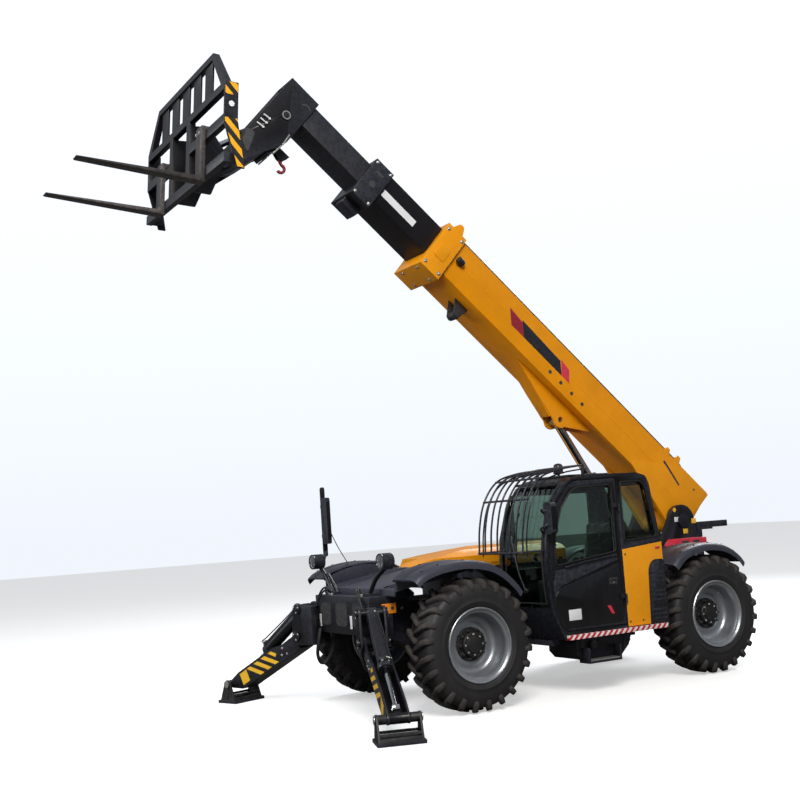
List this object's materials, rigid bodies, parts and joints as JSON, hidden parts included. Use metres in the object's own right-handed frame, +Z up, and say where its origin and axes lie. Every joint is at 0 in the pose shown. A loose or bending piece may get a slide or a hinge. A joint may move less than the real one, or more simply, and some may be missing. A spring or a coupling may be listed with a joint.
{
  "type": "telehandler",
  "caption": "Telehandler: four steered wheels, side cab, three-section raised boom with goose-neck head, fork carriage, lifting hook and front stabilizer legs.",
  "frame": {"origin": "middle of the bottom of the bounding box, on the ground", "axes": "+X forward, +Y to the driver's left, +Z up"},
  "size_m": [7.6286, 3.8758, 6.3488],
  "materials": {
    "yellow": "glossy ochre yellow paint",
    "black": "satin black paint",
    "plastic": "moulded dark plastic",
    "tyre": "dusty tyre rubber",
    "wheel_silver": "silver paint",
    "chrome": "hard chrome rod",
    "cast": "painted castings",
    "red": "red",
    "glass": "tinted safety glass",
    "seat": "black seat cloth"
  },
  "bodies": {
    "chassis": {"chassis_frame": "black", "front_axle": "black", "rear_axle": "black", "cab_shell": "black", "windscreen": "glass", "cab_guard": "black", "driver_seat": "seat", "control_console": "plastic", "side_panel": "yellow", "step_and_tank": "black", "engine_bay": "black", "engine_block": "cast", "front_deck": "plastic", "rear_fender_left": "plastic", "rear_fender_right": "plastic", "wheel_chock": "red", "stabilizer_beam": "black", "headlamp_left": "black", "headlamp_right_and_mirror": "black"},
    "boom": {"boom_outer": "yellow"},
    "boom_2": {"boom_second": "black"},
    "boom_3": {"boom_third": "black", "boom_head": "black"},
    "hook": {"lifting_hook": "red"},
    "carriage": {"fork_carriage": "black", "fork_left": "black", "fork_right": "black"},
    "door": {"cab_door": "black"},
    "hood": {"engine_hood": "yellow"},
    "lift_barrel": {"lift_cylinder_barrel": "black"},
    "lift_rod": {"lift_cylinder_rod": "chrome"},
    "tilt_barrel": {"tilt_cylinder_barrel": "black"},
    "tilt_rod": {"tilt_cylinder_rod": "chrome"},
    "knuckle_front_left": {"knuckle_front_left": "cast"},
    "wheel_front_left": {"rim_front_left": "wheel_silver", "tyre_front_left": "tyre"},
    "knuckle_front_right": {"knuckle_front_right": "cast"},
    "wheel_front_right": {"rim_front_right": "wheel_silver", "tyre_front_right": "tyre"},
    "knuckle_rear_left": {"knuckle_rear_left": "cast"},
    "wheel_rear_left": {"rim_rear_left": "wheel_silver", "tyre_rear_left": "tyre"},
    "knuckle_rear_right": {"knuckle_rear_right": "cast"},
    "wheel_rear_right": {"rim_rear_right": "wheel_silver", "tyre_rear_right": "tyre"},
    "leg_left": {"stabilizer_leg_left": "black"},
    "leg_barrel_left": {"stabilizer_barrel_left": "black"},
    "leg_rod_left": {"stabilizer_rod_left": "chrome"},
    "foot_left": {"stabilizer_foot_left": "black"},
    "leg_right": {"stabilizer_leg_right": "black"},
    "leg_barrel_right": {"stabilizer_barrel_right": "black"},
    "leg_rod_right": {"stabilizer_rod_right": "chrome"},
    "foot_right": {"stabilizer_foot_right": "black"}
  },
  "joints": [
    {"name": "boom_lift", "type": "hinge", "parent": "chassis", "child": "boom", "pos_m": [-3.10428, 0, 1.62], "axis": [0, -1, 0], "range_deg": [-44.5, 28.5]},
    {"name": "boom_extend", "type": "slide", "parent": "boom", "child": "boom_2", "axis": [0.749, 0, 0.6626], "range_m": [-0.74, 2.55]},
    {"name": "boom_extend_3", "type": "slide", "parent": "boom_2", "child": "boom_3", "axis": [0.749, 0, 0.6626], "range_m": [-0.745, 2.555]},
    {"name": "carriage_tilt", "type": "hinge", "parent": "boom_3", "child": "carriage", "pos_m": [2.26808, 0, 5.34362], "axis": [0, 1, 0], "range_deg": [-46, 68]},
    {"name": "hook_swing", "type": "hinge", "parent": "boom_3", "child": "hook", "pos_m": [1.56375, 0, 5.54964], "axis": [0, 1, 0], "range_deg": [-45, 45]},
    {"name": "lift_barrel_turn", "type": "hinge", "parent": "chassis", "child": "lift_barrel", "pos_m": [-2.88928, 0, 0.93], "axis": [0, -1, 0], "range_deg": [-37, 24]},
    {"name": "lift_rod_slide", "type": "slide", "parent": "lift_barrel", "child": "lift_rod", "axis": [0.5448, 0, 0.8386], "range_m": [-0.465, 0.3]},
    {"name": "tilt_barrel_turn", "type": "hinge", "parent": "boom_3", "child": "tilt_barrel", "pos_m": [1.55445, 0, 5.94197], "axis": [0, 1, 0], "range_deg": [-4, 5]},
    {"name": "tilt_rod_slide", "type": "slide", "parent": "tilt_barrel", "child": "tilt_rod", "axis": [0.8982, 0, -0.4395], "range_m": [-0.16, 0.235]},
    {"name": "stabilizer_left", "type": "hinge", "parent": "chassis", "child": "leg_left", "pos_m": [1.23372, 0.736, 0.724], "axis": [0.9444, -0.3289, 0], "range_deg": [0, 93.4]},
    {"name": "leg_barrel_turn_left", "type": "hinge", "parent": "chassis", "child": "leg_barrel_left", "pos_m": [1.22715, 0.71711, 0.996], "axis": [0.9444, -0.3289, 0], "range_deg": [-1, 93]},
    {"name": "leg_rod_slide_left", "type": "slide", "parent": "leg_barrel_left", "child": "leg_rod_left", "axis": [0.266, 0.7638, -0.5881], "range_m": [-0.402, 0.005]},
    {"name": "foot_left", "type": "hinge", "parent": "leg_left", "child": "foot_left", "pos_m": [1.58495, 1.74459, 0.2], "axis": [0.9444, -0.3289, 0], "range_deg": [-15, 15]},
    {"name": "stabilizer_right", "type": "hinge", "parent": "chassis", "child": "leg_right", "pos_m": [1.23372, -0.736, 0.724], "axis": [-0.9444, -0.3289, 0], "range_deg": [0, 93.4]},
    {"name": "leg_barrel_turn_right", "type": "hinge", "parent": "chassis", "child": "leg_barrel_right", "pos_m": [1.22715, -0.71711, 0.996], "axis": [-0.9444, -0.3289, 0], "range_deg": [-1, 93]},
    {"name": "leg_rod_slide_right", "type": "slide", "parent": "leg_barrel_right", "child": "leg_rod_right", "axis": [0.266, -0.7638, -0.5881], "range_m": [-0.402, 0.005]},
    {"name": "foot_right", "type": "hinge", "parent": "leg_right", "child": "foot_right", "pos_m": [1.58495, -1.74459, 0.2], "axis": [-0.9444, -0.3289, 0], "range_deg": [-15, 15]},
    {"name": "steer_front_left", "type": "hinge", "parent": "chassis", "child": "knuckle_front_left", "pos_m": [0.32572, 0.815, 0.626], "axis": [0, 0, 1], "range_deg": [-30, 30]},
    {"name": "spin_front_left", "type": "hinge", "parent": "knuckle_front_left", "child": "wheel_front_left", "pos_m": [0.32572, 0.965, 0.626], "axis": [0, 1, 0], "continuous": true},
    {"name": "steer_front_right", "type": "hinge", "parent": "chassis", "child": "knuckle_front_right", "pos_m": [0.32572, -0.815, 0.626], "axis": [0, 0, 1], "range_deg": [-30, 30]},
    {"name": "spin_front_right", "type": "hinge", "parent": "knuckle_front_right", "child": "wheel_front_right", "pos_m": [0.32572, -0.965, 0.626], "axis": [0, 1, 0], "continuous": true},
    {"name": "steer_rear_left", "type": "hinge", "parent": "chassis", "child": "knuckle_rear_left", "pos_m": [-2.71428, 0.815, 0.626], "axis": [0, 0, 1], "range_deg": [-30, 30]},
    {"name": "spin_rear_left", "type": "hinge", "parent": "knuckle_rear_left", "child": "wheel_rear_left", "pos_m": [-2.71428, 0.965, 0.626], "axis": [0, 1, 0], "continuous": true},
    {"name": "steer_rear_right", "type": "hinge", "parent": "chassis", "child": "knuckle_rear_right", "pos_m": [-2.71428, -0.815, 0.626], "axis": [0, 0, 1], "range_deg": [-30, 30]},
    {"name": "spin_rear_right", "type": "hinge", "parent": "knuckle_rear_right", "child": "wheel_rear_right", "pos_m": [-2.71428, -0.965, 0.626], "axis": [0, 1, 0], "continuous": true},
    {"name": "cab_door", "type": "hinge", "parent": "chassis", "child": "door", "pos_m": [-1.47428, 1.164, 0.626], "axis": [0, 0, 1], "range_deg": [0, 100]},
    {"name": "hood_lift", "type": "hinge", "parent": "chassis", "child": "hood", "pos_m": [-1.57428, -0.348, 1.284], "axis": [-1, 0, 0], "range_deg": [0, 60]}
  ],
  "couplings": [
    {"joint": "boom_extend_3", "follows": "boom_extend", "ratio": 1},
    {"joint": "lift_barrel_turn", "follows": "boom_lift", "ratio": 0.8225},
    {"joint": "lift_rod_slide", "follows": "boom_lift", "m_per_rad": 0.5917},
    {"joint": "tilt_barrel_turn", "follows": "carriage_tilt", "ratio": 0.0576},
    {"joint": "tilt_rod_slide", "follows": "carriage_tilt", "m_per_rad": 0.1914},
    {"joint": "leg_barrel_turn_left", "follows": "stabilizer_left", "ratio": 0.9905},
    {"joint": "leg_rod_slide_left", "follows": "stabilizer_left", "m_per_rad": -0.2442},
    {"joint": "leg_barrel_turn_right", "follows": "stabilizer_right", "ratio": 0.9905},
    {"joint": "leg_rod_slide_right", "follows": "stabilizer_right", "m_per_rad": -0.2442},
    {"joint": "steer_front_right", "follows": "steer_front_left", "ratio": 1},
    {"joint": "steer_rear_right", "follows": "steer_rear_left", "ratio": 1}
  ]
}
